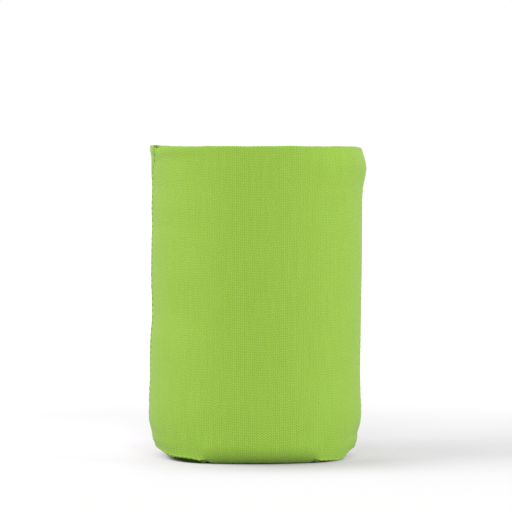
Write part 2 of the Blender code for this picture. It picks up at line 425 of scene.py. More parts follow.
# The band that a side seam's zigzag presses into the sheet, and what stands beside it
PRESSED_DEPTH = 0.16 * MM
PRESSED_REACH, PRESSED_EDGE = 1.55 * MM, 0.5 * MM
SHOULDER = Ridge(0.05 * MM, 2.0 * MM, 0.7 * MM)
LIP = Ridge(0.25 * MM, 1.3 * MM, 0.8 * MM)
PUCKER = Ridge(0.04 * MM, 2.0 * MM, 1.0 * MM)
PUCKER_SHIFT = 1.57

# The groove and the needle holes: their sizes where the seam is tight, and what gaping adds
GROOVE_DEPTH, GROOVE_DEEPENING = 0.26 * MM, 0.5 * MM
GROOVE_WIDTH, GROOVE_WIDENING = 0.13 * MM, 0.25 * MM
HOLE_DEPTH, HOLE_DEEPENING = 0.04 * MM, 0.2 * MM
HOLE_LENGTH, HOLE_WIDTH = 0.28 * MM, 0.26 * MM


def seam_relief(across, height, openness):
    """How far the outer face stands out beside a side seam.

    across is the distance from the seam; openness is from 0, drawn tight, to 1, gaping.
    """
    beside = np.abs(across)
    phase = 2 * math.pi * height / STITCH_LENGTH + np.sign(across) * PUCKER_SHIFT
    raised = SHOULDER.at(beside) + LIP.at(beside) * openness + PUCKER.at(beside) * np.cos(phase)
    pressed = PRESSED_DEPTH * smooth((PRESSED_REACH - beside) / PRESSED_EDGE)
    groove = ridge(across, 0.0, GROOVE_WIDTH + GROOVE_WIDENING * openness)
    groove = (GROOVE_DEPTH + GROOVE_DEEPENING * openness) * groove
    hole = needle_holes(across, height, HOLE_LENGTH, HOLE_WIDTH)
    return raised - pressed - groove - (HOLE_DEPTH + HOLE_DEEPENING * openness) * hole


# Where the side seams start to gape towards the rim, and how far each does at the top
GAPING_FOOT = 99 * MM
LEFT_OPENNESS, RIGHT_OPENNESS = 1.0, 0.45


def openness_at(turn, height):
    """How far a side seam gapes at the rim."""
    top = smooth((height - GAPING_FOOT) / (SLEEVE_HEIGHT - GAPING_FOOT))
    return top * np.where(on_left(turn), LEFT_OPENNESS, RIGHT_OPENNESS)


# The gaping part of a base seam: how far under the lip it reaches, how deep it goes in, and how
# high the floor's edge lies beside it
GAP_WIDTH = 0.75 * MM
GAP_DEPTH = 2.0 * MM
FLOOR_EDGE_HEIGHT = 0.1 * MM

# The distances under the lip over which the gap opens, the floor is pressed down and its edge
# comes down again
GAP_START, GAP_RUN = 0.02 * MM, 0.18 * MM
PRESS_START, PRESS_RUN = 0.15 * MM, 0.4 * MM
FLOOR_EDGE_END, FLOOR_EDGE_RUN = 1.3 * MM, 0.6 * MM

# Where each base seam starts to gape, and over how far, in degrees from its side seam
LEFT_GAPE_START, LEFT_GAPE_RUN = 24, 22
RIGHT_GAPE_START, RIGHT_GAPE_RUN = 32, 12
RIGHT_GAPE_SHARE = 0.7

# How far past a base seam's end its gap and its stitches run out, and over what angle
GAPE_OVERRUN, GAPE_FADE = 0.02, 0.04
STITCH_OVERRUN, STITCH_FADE = 0.03, 0.05


def gape(turn, angle):
    """How far a base seam gapes, from 0 to 1, more towards the folds and more on the left."""
    degrees = np.degrees(angle)
    left = smooth((degrees - LEFT_GAPE_START) / LEFT_GAPE_RUN)
    right = RIGHT_GAPE_SHARE * smooth((degrees - RIGHT_GAPE_START) / RIGHT_GAPE_RUN)
    inside_run = smooth((SEAM_END_ANGLE + GAPE_OVERRUN - angle) / GAPE_FADE)
    return np.where(on_left(turn), left, right) * inside_run


def press_down(height, turn, angle, edge_distance):
    """The height of a place once the floor's edge rests on the ground beside a gaping seam."""
    under = -edge_distance
    share = gape(turn, angle) * smooth((under - PRESS_START) / PRESS_RUN)
    edge = FLOOR_EDGE_HEIGHT * smooth((FLOOR_EDGE_END - under) / FLOOR_EDGE_RUN)
    return height + (edge - height) * share


def gap_depth(turn, angle, edge_distance):
    """How far in the gap goes between the wall's lip and the floor's edge."""
    under = -edge_distance
    return GAP_DEPTH * smooth((under - GAP_START) / GAP_RUN) * gape(turn, angle)


# The lip along a base seam, how much it follows the stitches, and the needle holes
BASE_LIP = Ridge(0.1 * MM, 0.35 * MM, 0.35 * MM)
BASE_SCALLOP = 0.5
BASE_HOLE_DEPTH = 0.12 * MM
BASE_HOLE_LENGTH, BASE_HOLE_WIDTH = 0.32 * MM, 0.3 * MM


def base_relief(edge_distance, turn, angle):
    """How far the outer face stands out beside a base seam."""
    step = SEAM_END_ANGLE / BASE_STEPS
    along = np.where(on_left(turn), turn_from(turn, math.pi), turn_from(turn, 0.0))
    place = along / step
    nearest = np.round(place)
    side = np.where(nearest % 2 == 1, -1.0, 1.0)
    off = (place - nearest) * step * SEAM_END_RADIUS
    middle = BASE_STITCH_SHIFT + side * BASE_STITCH_WIDTH / 2
    hole = ridge(off, 0.0, BASE_HOLE_LENGTH) * ridge(edge_distance, middle, BASE_HOLE_WIDTH)
    lip = BASE_LIP.at(edge_distance) * (1 + BASE_SCALLOP * np.cos(math.pi * place))
    inside_run = smooth((SEAM_END_ANGLE + STITCH_OVERRUN - angle) / STITCH_FADE)
    return (lip - BASE_HOLE_DEPTH * hole) * inside_run


# The sleeve's mesh: columns by distance from a side seam and rows by distance from the sewn edge,
# in millimetres, rings by share of the flat floor, and the upright wall's rows
SEAM_COLUMNS = (
    0.1, 0.2, 0.3, 0.42, 0.55, 0.7, 0.85, 1.0, 1.15, 1.3, 1.45, 1.65, 1.9, 2.2, 2.6, 3.1,
    3.7, 4.4, 5.2,
)
COLUMN_STEP = 1.25 * MM
UNDER_RINGS = (0.2, 0.42, 0.62, 0.8, 0.92)
FLOOR_ROWS = (
    5.2, 4.4, 3.7, 3.1, 2.6, 2.2, 1.85, 1.55, 1.3, 1.1, 0.9, 0.72, 0.56, 0.42, 0.3, 0.2, 0.1,
)
WALL_ROWS = FLOOR_ROWS[::-1] + (6.0, 6.9)
INNER_ROWS = (6.9, 5.4, 4.2, 3.2, 2.5, 1.9, 1.4, 1.0, 0.7, 0.45, 0.2, 0.0)
FOOT_SHARES = (0.34, 0.67)
UPRIGHT_FOOT = 14.35 * MM
UPRIGHT_STEP = STITCH_LENGTH / 4
UPRIGHT_COUNT = int((SLEEVE_HEIGHT - RIM_ROUNDING - UPRIGHT_FOOT) / UPRIGHT_STEP)
INNER_UPRIGHT_ROWS = 64
OUTER_COUNT = (
    len(UNDER_RINGS) + len(FLOOR_ROWS) + 1 + len(WALL_ROWS) + len(FOOT_SHARES) + UPRIGHT_COUNT
)

# The distance from the sewn edge that stands for anywhere on the flat rings
ON_RINGS = -1.0


def column_turns():
    """The turns of the mesh's columns, all round."""
    marks = [0.0] + [d * MM / OUTER_RADIUS for d in SEAM_COLUMNS]
    last = marks[-1]
    count = round((math.pi / 2 - last) * OUTER_RADIUS / COLUMN_STEP)
    marks += [last + (math.pi / 2 - last) * (k + 1) / count for k in range(count)]
    half = marks + [math.pi - a for a in reversed(marks[1:-1])]
    return half + [math.pi + a for a in half]


def rim_spots():
    """The rim's section: the outer knit's edge, the foam between and the inner knit's edge."""
    top = SLEEVE_HEIGHT
    middle = (CAVITY_RADIUS + OUTER_RADIUS) / 2
    half = SHEET_THICKNESS / 2
    side = (
        (half, -RIM_ROUNDING, 90),
        (half - 0.05 * MM, -0.16 * MM, 60),
        (half - 0.17 * MM, 0.0, 0),
        (half - KNIT_THICKNESS, -0.03 * MM, 0),
        (half - KNIT_THICKNESS - 0.05 * MM, -CORE_DROP, 0),
        (0.45 * half, -CORE_DROP * 0.7, 0),
    )
    out = [Spot(middle + x, top + z, math.radians(a)) for x, z, a in side]
    back = [Spot(middle - x, top + z, math.radians(a)) for x, z, a in reversed(side)]
    return out + [Spot(middle, top - CORE_DROP * 0.6, 0.0)] + back


RIM_COUNT = len(rim_spots())


def upright(radius, height, away):
    """A row on an upright stretch of the wall."""
    return Spot(radius, height, math.pi / 2), away


def outer_rows(floor, wall, edge):
    """A column's rows on the outer face, from the middle of the underside to the rim."""
    reach = walk(floor, FLOOR_ROWS[0] * MM).radius
    rows = [(Spot(reach * share, 0.0, 0.0), ON_RINGS) for share in UNDER_RINGS]
    rows += [(walk(floor, d * MM), -d * MM) for d in FLOOR_ROWS]
    rows.append((edge, 0.0))
    rows += [(walk(wall, d * MM), d * MM) for d in WALL_ROWS]
    last, away = rows[-1]
    heights = [last.height + (UPRIGHT_FOOT - last.height) * share for share in FOOT_SHARES]
    heights += [UPRIGHT_FOOT + k * UPRIGHT_STEP for k in range(UPRIGHT_COUNT)]
    return rows + [upright(OUTER_RADIUS, h, away + h - last.height) for h in heights]


def inner_rows(floor, wall):
    """A column's rows on the inner face, from the rim to the middle of the floor."""
    away = INNER_ROWS[0] * MM
    foot = walk(wall, away).height
    top = SLEEVE_HEIGHT - RIM_ROUNDING
    heights = [top + (foot - top) * k / INNER_UPRIGHT_ROWS for k in range(1, INNER_UPRIGHT_ROWS)]
    rows = [upright(CAVITY_RADIUS, h, away + h - foot) for h in heights]
    rows += [(walk(wall, d * MM), d * MM) for d in INNER_ROWS]
    rows += [(walk(floor, d * MM), -d * MM) for d in reversed(INNER_ROWS[:-1])]
    reach = rows[-1][0].radius
    rings = reversed(UNDER_RINGS)
    return rows + [(Spot(reach * share, SHEET_THICKNESS, 0.0), ON_RINGS) for share in rings]


def rim_rows(below, inside):
    """A column's rows over the rim, between the row below it and the first row inside."""
    outer_away, inner_away = (away + SLEEVE_HEIGHT - spot.height for spot, away in (below, inside))
    spots = rim_spots()
    middle = len(spots) / 2
    return [(spot, outer_away if k < middle else inner_away) for k, spot in enumerate(spots)]


def column_rows(angle):
    """One column of the sleeve: its spots, each with its distance from the sewn edge.

    It runs from the middle of the underside out, up, over the rim and down to the floor inside.
    """
    turn = turn_at(angle)
    floor, wall = face_lines(angle)
    outer = outer_rows(outer_line(floor, turn), outer_line(wall, turn), outer_edge_spot(turn))
    inner = inner_rows(floor, wall)
    return outer + rim_rows(outer[-1], inner[0]) + inner


def outer_relief(turn, angle, height, edge_distance):
    """How far the outer face stands out from the plain cup, at arrays of places."""
    across = side_distance(turn)
    openness = openness_at(turn, height)
    side = seam_relief(across, height, openness)
    side = side * smooth((edge_distance - 0.2 * MM) / (1.6 * MM))
    return side + base_relief(edge_distance, turn, angle)


# The inner face by a side seam: how far it is drawn out where the seam is tight, what gaping
# adds, the groove and the needle holes, and the height where all that starts
PINCH_DEPTH, PINCH_DEEPENING = 0.25 * MM, 0.95 * MM
PINCH_WIDTH = 3 * MM
INNER_GROOVE = Ridge(0.3 * MM, 0.0, 0.25 * MM)
INNER_HOLE_DEPTH = 0.15 * MM
INNER_HOLE_LENGTH, INNER_HOLE_WIDTH = 0.4 * MM, 0.34 * MM
INNER_SEAM_FOOT, INNER_SEAM_RUN = 6 * MM, 3 * MM
BED_SHARE = 0.9

# The nick in the rim at a side seam
RIM_NICK = Ridge(0.5 * MM, 0.0, 0.35 * MM)


def inner_pinch(turn, height):
    """How far out a side seam draws the inner face."""
    return PINCH_DEPTH + PINCH_DEEPENING * openness_at(turn, height)


def above_floor(height):
    """0 near the floor inside and 1 on the upright wall."""
    return smooth((height - INNER_SEAM_FOOT) / INNER_SEAM_RUN)


def inner_relief(turn, height):
    """How far the inner face is pressed out towards the outer one beside a side seam."""
    across = side_distance(turn)
    hole = INNER_HOLE_DEPTH * needle_holes(across, height, INNER_HOLE_LENGTH, INNER_HOLE_WIDTH)
    pinch = inner_pinch(turn, height) * ridge(across, 0.0, PINCH_WIDTH)
    return (INNER_GROOVE.at(across) + pinch + hole) * above_floor(height)


def inner_bed(turn, height):
    """How far out the inner face lies under a side seam's bobbin thread."""
    return BED_SHARE * inner_pinch(turn, height) * above_floor(height)


def sleeve_places():
    """Arrays over rows and columns: turn, angle, radius, height, slope and edge distance."""
    turns = column_turns()
    angles = [abs(float(side_distance(t))) / OUTER_RADIUS for t in turns]
    columns = [column_rows(a) for a in angles]
    grid = np.array([[(*spot, away) for spot, away in column] for column in columns])
    radius, height, slope, away = np.moveaxis(grid, 2, 0).transpose(0, 2, 1)
    turn = np.broadcast_to(np.array(turns), radius.shape)
    angle = np.broadcast_to(np.array(angles), radius.shape)
    return turn, angle, radius, height, slope, away


def sleeve_points(places):
    """The sleeve's points, by row and column."""
    turn, angle, radius, height, slope, away = places
    rows = np.arange(len(radius))[:, None]
    outside = rows < OUTER_COUNT
    rim = (rows >= OUTER_COUNT) & (rows < OUTER_COUNT + RIM_COUNT)
    outward = np.where(outside, outer_relief(turn, angle, height, away), inner_relief(turn, height))

    top = np.full_like(turn, SLEEVE_HEIGHT)
    outer_top = seam_relief(side_distance(turn), top, openness_at(turn, top))
    share = (radius - CAVITY_RADIUS) / SHEET_THICKNESS
    across_rim = share * outer_top + (1 - share) * inner_relief(turn, top)
    nick = -RIM_NICK.at(side_distance(turn))

    push_out = np.where(rim, across_rim, outward * np.sin(slope))
    pocket = gap_depth(turn, angle, away) * smooth((GAP_WIDTH + away) / (0.25 * MM))
    push_out = push_out - np.where(outside, pocket, 0.0)
    push_up = np.where(rim, nick, np.where(outside, -outward * np.cos(slope), 0.0))
    x, y, z = settle(turn, radius + push_out, height + push_up)
    z = np.where(outside & (away < 0), press_down(z, turn, angle, away), z)
    return np.stack([x, y, z], axis=2)


# The way along the flat sheet from the middle of the floor to the sewn edge
FLOOR_REACH = 33.0 * MM

# The sleeve's finishes, and how many steps of the rim's section each knit edge takes
KNIT_SLOT, FOAM_SLOT, GAP_SLOT = range(3)
RIM_KNIT_STEPS = 3


def sheet_plans(places, centre):
    """Where each place lies on the flat sheet, as part of a wall and as part of the floor."""
    turn, _, radius, _, _, away = places
    across = turn_from(turn, centre)
    wall = np.stack([across * OUTER_RADIUS, FLOOR_REACH + away], axis=2)
    reach = np.where(away > ON_RINGS, FLOOR_REACH + away, radius)
    floor = np.stack([reach * np.sin(across), reach * np.cos(across)], axis=2)
    return wall, floor


def face_slot(row, turn, angle, away):
    """The finish of a face, by its row and the place of its first corner."""
    past_outer_knit = row - OUTER_COUNT - RIM_KNIT_STEPS
    if 0 <= past_outer_knit < RIM_COUNT - 2 * RIM_KNIT_STEPS - 1:
        return FOAM_SLOT
    # Faces in a gaping base seam take the near black foam, painted as shade
    in_gap = -GAP_WIDTH < away < -0.05 * MM and gape(turn, angle) > 0.3
    return GAP_SLOT if row < OUTER_COUNT and in_gap else KNIT_SLOT


def add_object(name, data):
    """A new object in the scene that shows the data."""
    made = bpy.data.objects.new(name, data)
    bpy.context.scene.collection.objects.link(made)
    return made


def mapped_object(name, verts, faces, finishes, plan_name, plan, slots=None):
    """A smooth mesh with its finishes and its map, as a new object."""
    mesh = bpy.data.meshes.new(name)
    mesh.from_pydata(verts, [], faces)
    for finish in finishes:
        mesh.materials.append(finish)
    if slots:
        mesh.polygons.foreach_set("material_index", slots)
    layer = mesh.uv_layers.new(name=plan_name)
    layer.uv.foreach_set("vector", np.array(plan, np.float32).ravel())
    mesh.shade_smooth()
    return add_object(name, mesh)


def build_sleeve(finishes):
    """The whole sheet as one mesh, with the flat sheet's plan as its map."""
    places = sleeve_places()
    points = sleeve_points(places)
    turn, angle, away = places[0], places[1], places[5]
    rows, columns = turn.shape
    verts = points.reshape(-1, 3).tolist()
    verts.append([0.0, 0.0, 0.0])
    verts.append([0.0, 0.0, SHEET_THICKNESS])
    under, floor = rows * columns, rows * columns + 1
    plans = {False: sheet_plans(places, 3 * math.pi / 2), True: sheet_plans(places, math.pi / 2)}

    faces, plan, slots = [], [], []
    for j in range(columns):
        k = (j + 1) % columns
        wall_plan, floor_plan = plans[turn[0][j] < math.pi]
        for i in range(rows - 1):
            on_floor = away[i][j] <= 0 and away[i + 1][j] <= 0
            chosen = floor_plan if on_floor else wall_plan
            corners = ((i, j), (i, k), (i + 1, k), (i + 1, j))
            faces.append([a * columns + b for a, b in corners])
            plan += [chosen[a][b] for a, b in corners]
            slots.append(face_slot(i, turn[i][j], angle[i][j], away[i][j]))
        last = rows - 1
        faces.append([under, k, j])
        faces.append([floor, last * columns + j, last * columns + k])
        plan += [(0.0, 0.0), floor_plan[0][k], floor_plan[0][j]]
        plan += [(0.0, 0.0), floor_plan[last][j], floor_plan[last][k]]
        slots += [KNIT_SLOT, KNIT_SLOT]

    return mapped_object("knit_sleeve", verts, faces, finishes, "SheetPlan", plan, slots)


def tube(name, path, radius, finish):
    """A round thread along a path of points, with its length and girth as its map."""
    path = np.array(path)
    steps = np.diff(path, axis=0)
    tangents = np.vstack([steps[:1], steps[1:] + steps[:-1], steps[-1:]])
    tangents /= np.linalg.norm(tangents, axis=1)[:, None]
    length = np.concatenate([[0.0], np.cumsum(np.linalg.norm(steps, axis=1))])

    side = np.cross(tangents[0], [0.3, 0.5, 0.8])
    verts = []
    for point, tangent in zip(path, tangents):
        side = side - tangent * side.dot(tangent)
        side = side / np.linalg.norm(side)
        up = np.cross(tangent, side)
        for k in range(THREAD_SIDES):
            a = 2 * math.pi * k / THREAD_SIDES
            verts.append(point + radius * (math.cos(a) * side + math.sin(a) * up))

    faces, plan = [], []
    for i in range(len(path) - 1):
        near, far = i * THREAD_SIDES, (i + 1) * THREAD_SIDES
        for k in range(THREAD_SIDES):
            n = (k + 1) % THREAD_SIDES
            faces.append([near + k, near + n, far + n, far + k])
            low, high = k / THREAD_SIDES, (k + 1) / THREAD_SIDES
            plan += [length[i], low, length[i], high, length[i + 1], high, length[i + 1], low]
    end = (len(path) - 1) * THREAD_SIDES
    faces.append(list(range(THREAD_SIDES))[::-1])
    faces.append([end + k for k in range(THREAD_SIDES)])
    plan += [0.0, 0.0] * (2 * THREAD_SIDES)

    verts = [list(vert) for vert in verts]
    return mapped_object(name, verts, faces, [finish], "ThreadPlan", plan)


# A base seam's outer thread: how deep it lies in the gap, as a share of the gap's depth, and how
# far the whole of it is lifted off the face
DRAWN_IN = 1.1
BASE_THREAD_LIFT = 0.05 * MM

# How a stitch runs from one needle hole to the next: shares of the way, each with its lift
STITCH_STEPS = (
    (0.0, -0.25), (0.05, -0.15), (0.11, -0.04), (0.2, 0.03), (0.35, 0.07), (0.5, 0.08),
    (0.65, 0.07), (0.8, 0.03), (0.89, -0.04), (0.95, -0.15),
)
LOWEST_THREAD = THREAD_RADIUS + 0.03 * MM


def lay(turn, spot, lift):
    """A point off the face at a spot, as the sleeve has settled."""
    lifted = offset(spot, lift)
    x, y, z = (float(v) for v in settle(turn, lifted.radius, lifted.height))
    return [x, y, max(z, LOWEST_THREAD)]


def side_thread_path(outside, centre):
    """The path of a thread over a side seam, from near the base to near the rim."""
    radius = OUTER_RADIUS if outside else CAVITY_RADIUS
    line = OUTER_SEAM_LINE if outside else INNER_SEAM_LINE
    length = SLEEVE_HEIGHT - line[0].height - SIDE_STITCH_START - SIDE_STITCH_END
    count = int(length / (STITCH_LENGTH / 2))
    path = []
    for step in range(count + 1):
        side = 1.0 if step % 2 else -1.0
        for share, lift in STITCH_STEPS:
            if step == count and share > 0:
                break
            along = SIDE_STITCH_START + (step + share) * STITCH_LENGTH / 2
            spot = walk(line, along)
            across = side * (1 - 2 * share) * STITCH_WIDTH / 2
            turn = centre + across / radius
            if outside:
                openness = float(openness_at(turn, spot.height))
                bed = 0.2 * MM * openness - PRESSED_DEPTH
                height = bed + lift * MM
            else:
                height = -float(inner_bed(turn, spot.height)) - lift * MM
            path.append(lay(turn, spot, height))
    return path


def base_stops():
    """The zigzag's stops along a base seam, in steps, with three back stitches at each end."""
    count = 2 * BASE_STEPS
    start = [2.5, 1.5, 0.5]
    return start + list(range(count + 1)) + [count - step for step in reversed(start)]


def base_thread_point(outside, centre, turn, across, lift):
    """A point of a thread over a base seam, at a way across it from the sewn edge up."""
    angle = abs(turn)
    floor, wall = face_lines(min(angle, SEAM_END_ANGLE))
    line = wall if across > 0 else floor
    if not outside:
        return lay(centre + turn, walk(line, abs(across)), -lift)
    spot = walk(outer_line(line, turn_at(angle)), abs(across))
    inward = DRAWN_IN * float(gap_depth(centre + turn, angle, across))
    spot = spot._replace(radius=spot.radius - inward)
    x, y, z = lay(centre + turn, spot, lift + BASE_THREAD_LIFT)
    if across < 0:
        z = max(float(press_down(z, centre + turn, angle, across)), LOWEST_THREAD)
    return [x, y, z]


def base_thread_path(outside, centre):
    """The path of a thread over a base seam, from one fold to the other."""
    path = []
    stops = base_stops()
    for number, (start, end) in enumerate(zip(stops, stops[1:])):
        side = -1.0 if number % 2 else 1.0
        for share, lift in STITCH_STEPS:
            step = start + (end - start) * share
            turn = SEAM_END_ANGLE * (step / BASE_STEPS - 1)
            across = BASE_STITCH_SHIFT + side * (1 - 2 * share) * BASE_STITCH_WIDTH / 2
            path.append(base_thread_point(outside, centre, turn, across, lift * MM))
    return path


# Materials


def node(tree, kind, inputs=None, **settings):
    """Adds a node, sets it, and links or fills its inputs by name or number."""
    made = tree.nodes.new(kind)
    for name, value in settings.items():
        setattr(made, name, value)
    for key, value in (inputs or {}).items():
        if isinstance(value, bpy.types.NodeSocket):
            tree.links.new(value, made.inputs[key])
        else:
            made.inputs[key].default_value = value
    return made


def maths(tree, operation, *values):
    """The result of one Math node."""
    inputs = dict(enumerate(values))
    return node(tree, "ShaderNodeMath", inputs, operation=operation).outputs[0]


def total(tree, *values):
    """The values added up."""
    result = values[0]
    for value in values[1:]:
        result = maths(tree, "ADD", result, value)
    return result


def spread_about(tree, value, middle, spread):
    """Turns a value from 0 to 1 into one that is spread evenly about a middle."""
    return maths(tree, "MULTIPLY_ADD", value, spread, middle - spread / 2)


def wave(tree, value, length):
    """1 at each whole number of lengths, and 0 half way between."""
    cosine = maths(tree, "COSINE", maths(tree, "MULTIPLY", value, 2 * math.pi / length))
    return maths(tree, "MULTIPLY_ADD", cosine, 0.5, 0.5)


def bell(tree, value, middle, width):
    """1 at the middle, falling off to nothing on both sides."""
    off = maths(tree, "DIVIDE", maths(tree, "SUBTRACT", value, middle), width)
    squared = maths(tree, "MULTIPLY", off, off)
    return maths(tree, "EXPONENT", maths(tree, "MULTIPLY", squared, -1.0))


def noise(tree, place, scale, detail):
    """Noise from 0 to 1, its scale in spots to the metre."""
    inputs = {"Vector": place, "Scale": scale, "Detail": detail}
    return node(tree, "ShaderNodeTexNoise", inputs).outputs[0]


def smooth_range(tree, value, start, end, low, high):
    """low up to the start, high from the end on, and a smooth change between."""
    return node(
        tree, "ShaderNodeMapRange", {0: value, 1: start, 2: end, 3: low, 4: high},
        interpolation_type="SMOOTHSTEP",
    ).outputs[0]


def blend_colour(tree, share, first, second, how="MIX"):
    """The second colour laid over the first one, by a share."""
    first, second = (
        c if isinstance(c, bpy.types.NodeSocket) else (*c, 1.0) for c in (first, second)
    )
    inputs = {0: share, 6: first, 7: second}
    return node(tree, "ShaderNodeMix", inputs, data_type="RGBA", blend_type=how).outputs[2]


def new_material(name):
    """A new material, with its node tree and its shader."""
    made = bpy.data.materials.new(name)
    made.use_nodes = True
    return made, made.node_tree, made.node_tree.nodes["Principled BSDF"]


def dress(tree, shader, colour, height, strength, distance):
    """Gives the shader its colour, and a bump from a height."""
    inputs = {"Strength": strength, "Distance": distance, "Height": height}
    bump = node(tree, "ShaderNodeBump", inputs)
    tree.links.new(colour, shader.inputs["Base Color"])
    tree.links.new(bump.outputs[0], shader.inputs["Normal"])


# The knit's painted gap shade fades between these places along the wall, from the sewn edge up
GAP_SHADE_FADE_START, GAP_SHADE_FADE_END = 6 * MM, 24 * MM
LOW_KNIT_SHADE, HIGH_KNIT_SHADE = 1.2, 0.88

# How far the knit's lines wander, and how much each kind of noise changes its tone
KNIT_WANDER = 0.35 * MM
COLUMN_TONE, PATCH_TONE, FIBRE_TONE = 0.14, 0.05, 0.05

# What the knit's legs, the lines between its columns and its fibres add to its relief
LEG_RELIEF, LINE_RELIEF, FIBRE_RELIEF = 0.6, 0.4, 0.25


def knit_material():
    """Lime green knit: V-shaped stitches in columns, with a soft nap."""
    made, tree, shader = new_material("lime_knit")
    plan = node(tree, "ShaderNodeUVMap", uv_map="SheetPlan").outputs[0]
    apart = node(tree, "ShaderNodeSeparateXYZ", {0: plan})
    wobble = maths(tree, "SUBTRACT", noise(tree, plan, scale=260.0, detail=2.0), 0.5)
    shift = maths(tree, "MULTIPLY", wobble, KNIT_WANDER)
    across = total(tree, apart.outputs[0], shift)
    along = total(tree, apart.outputs[1], shift)

    lean = maths(tree, "DIVIDE", maths(tree, "PINGPONG", across, WALE / 2), WALE)
    rows = total(tree, maths(tree, "DIVIDE", along, COURSE), lean)
    legs = wave(tree, rows, 1.0)
    joins = wave(tree, across, WALE / 2)
    gaps = maths(tree, "MULTIPLY", maths(tree, "SUBTRACT", 1.0, legs), joins)

    drawn_out = node(
        tree, "ShaderNodeVectorMath", {0: plan, 1: (1.0, 0.05, 1.0)}, operation="MULTIPLY"
    ).outputs[0]
    columns = noise(tree, drawn_out, scale=1300.0, detail=2.0)
    patches = noise(tree, plan, scale=90.0, detail=4.0)
    fibres = noise(tree, plan, scale=2600.0, detail=3.0)

    # The gaps get more painted shade near the base and less above, so the knit is darker low down
    gap_shade_by_height = smooth_range(
        tree, apart.outputs[1], FLOOR_REACH + GAP_SHADE_FADE_START, FLOOR_REACH + GAP_SHADE_FADE_END,
        LOW_KNIT_SHADE, HIGH_KNIT_SHADE,
    )
    # The gaps between the stitches are painted darker towards KNIT_SHADE, as shade between the loops
    colour = blend_colour(tree, maths(tree, "MULTIPLY", gaps, gap_shade_by_height), KNIT_GREEN, KNIT_SHADE)
    tone = total(
        tree,
        spread_about(tree, columns, 1.0, COLUMN_TONE),
        spread_about(tree, patches, 0.0, PATCH_TONE),
        spread_about(tree, fibres, 0.0, FIBRE_TONE),
    )
    grey = node(tree, "ShaderNodeCombineColor", {0: tone, 1: tone, 2: tone}).outputs[0]
    colour = blend_colour(tree, 1.0, colour, grey, "MULTIPLY")

    lines = maths(tree, "SUBTRACT", 1.0, joins)
    relief = total(
        tree,
        maths(tree, "MULTIPLY", legs, LEG_RELIEF),
        maths(tree, "MULTIPLY", lines, LINE_RELIEF),
        maths(tree, "MULTIPLY", fibres, FIBRE_RELIEF),
    )
    dress(tree, shader, colour, relief, strength=0.4, distance=0.12 * MM)
    shader.inputs["Roughness"].default_value = 0.85
    shader.inputs["Specular IOR Level"].default_value = 0.25
    shader.inputs["Sheen Weight"].default_value = 0.25
    shader.inputs["Sheen Roughness"].default_value = 0.45
    shader.inputs["Sheen Tint"].default_value = (0.95, 1.0, 0.75, 1.0)
    return made


# The share of the colour that is left by painted shade in the foam's pores and between a thread's
# strands
PORE_SHADE, STRAND_SHADE = 0.55, 0.8

# The way along a thread from one strand to the next, and the number of its strands
TWIST_LENGTH = 0.45 * MM
STRANDS = 2.0


def foam_material(name, green):
    """The foam's cut edge: fine open pores in a darker, duller green."""
    made, tree, shader = new_material(name)
    place = node(tree, "ShaderNodeTexCoord").outputs["Object"]
    pores = node(
        tree, "ShaderNodeTexVoronoi", {"Vector": place, "Scale": 2600.0}, feature="F1"
    ).outputs[0]
    pores = maths(tree, "SMOOTH_MIN", pores, 0.6, 0.2)
    # The pores are painted darker inside, as shade
    colour = blend_colour(tree, pores, [c * PORE_SHADE for c in green], green)
    dress(tree, shader, colour, pores, strength=0.7, distance=0.15 * MM)
    shader.inputs["Roughness"].default_value = 0.95
    shader.inputs["Specular IOR Level"].default_value = 0.15
    return made


def thread_material():
    """Twisted polyester thread, a little paler than the knit."""
    made, tree, shader = new_material("sewing_thread")
    plan = node(tree, "ShaderNodeUVMap", uv_map="ThreadPlan").outputs[0]
    apart = node(tree, "ShaderNodeSeparateXYZ", {0: plan})
    twist = maths(tree, "DIVIDE", apart.outputs[0], TWIST_LENGTH)
    girth = maths(tree, "MULTIPLY", apart.outputs[1], STRANDS)
    strand = maths(tree, "FRACT", total(tree, twist, girth))
    rounded = maths(tree, "SINE", maths(tree, "MULTIPLY", strand, math.pi))
    # Each strand is painted darker at its edges, as shade between the strands
    colour = blend_colour(tree, rounded, [c * STRAND_SHADE for c in THREAD_GREEN], THREAD_GREEN)
    dress(tree, shader, colour, rounded, strength=0.6, distance=0.05 * MM)
    shader.inputs["Roughness"].default_value = 0.6
    shader.inputs["Specular IOR Level"].default_value = 0.3
    return made


# The pieces

KNIT = knit_material()
FOAM = foam_material("foam_core", FOAM_GREEN)
# The foam seen in the base seams' gaps, painted dark as shade
SHADED_GAP_FOAM = foam_material("foam_in_gap_painted_shade", GAP_SHADE_GREEN)
THREAD = thread_material()

sleeve = build_sleeve((KNIT, FOAM, SHADED_GAP_FOAM))
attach(sleeve, "root")
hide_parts("sleeve_body")

for side_name, centre in (("right", 0.0), ("left", math.pi)):
    for seam, path_of in (("side", side_thread_path), ("base", base_thread_path)):
        for kind, outside in (("needle", True), ("bobbin", False)):
            name = f"{side_name}_{seam}_{kind}_thread"
            stitches = tube(f"{name}_sewn", path_of(outside, centre), THREAD_RADIUS, THREAD)
            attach(stitches, "root")
            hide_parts(name)


# The floor, the light and the camera

FLOOR_HALF = 30.0
FLOOR_HEIGHT = -0.05 * MM
FLOOR_GREY = 0.45

# The floor's glow round the base, held back there as painted contact shadow, what it gains
# further off, and how much sooner it starts on the right, which paints that corner lighter
NEAR_GLOW, FAR_GLOW = 0.48, 0.52
NEAR_START, NEAR_END = 28.5 * MM, 31.5 * MM
FAR_START, FAR_END = 0.15, 0.6
RIGHT_CORNER_GAIN = 0.06

# The painted shadow in front of the base: how strong it is, where its middle is and how wide it is
FRONT_SHADE = 0.33
FRONT_MIDDLE, FRONT_WIDTH = (8 * MM, -32 * MM), (34 * MM, 24 * MM)

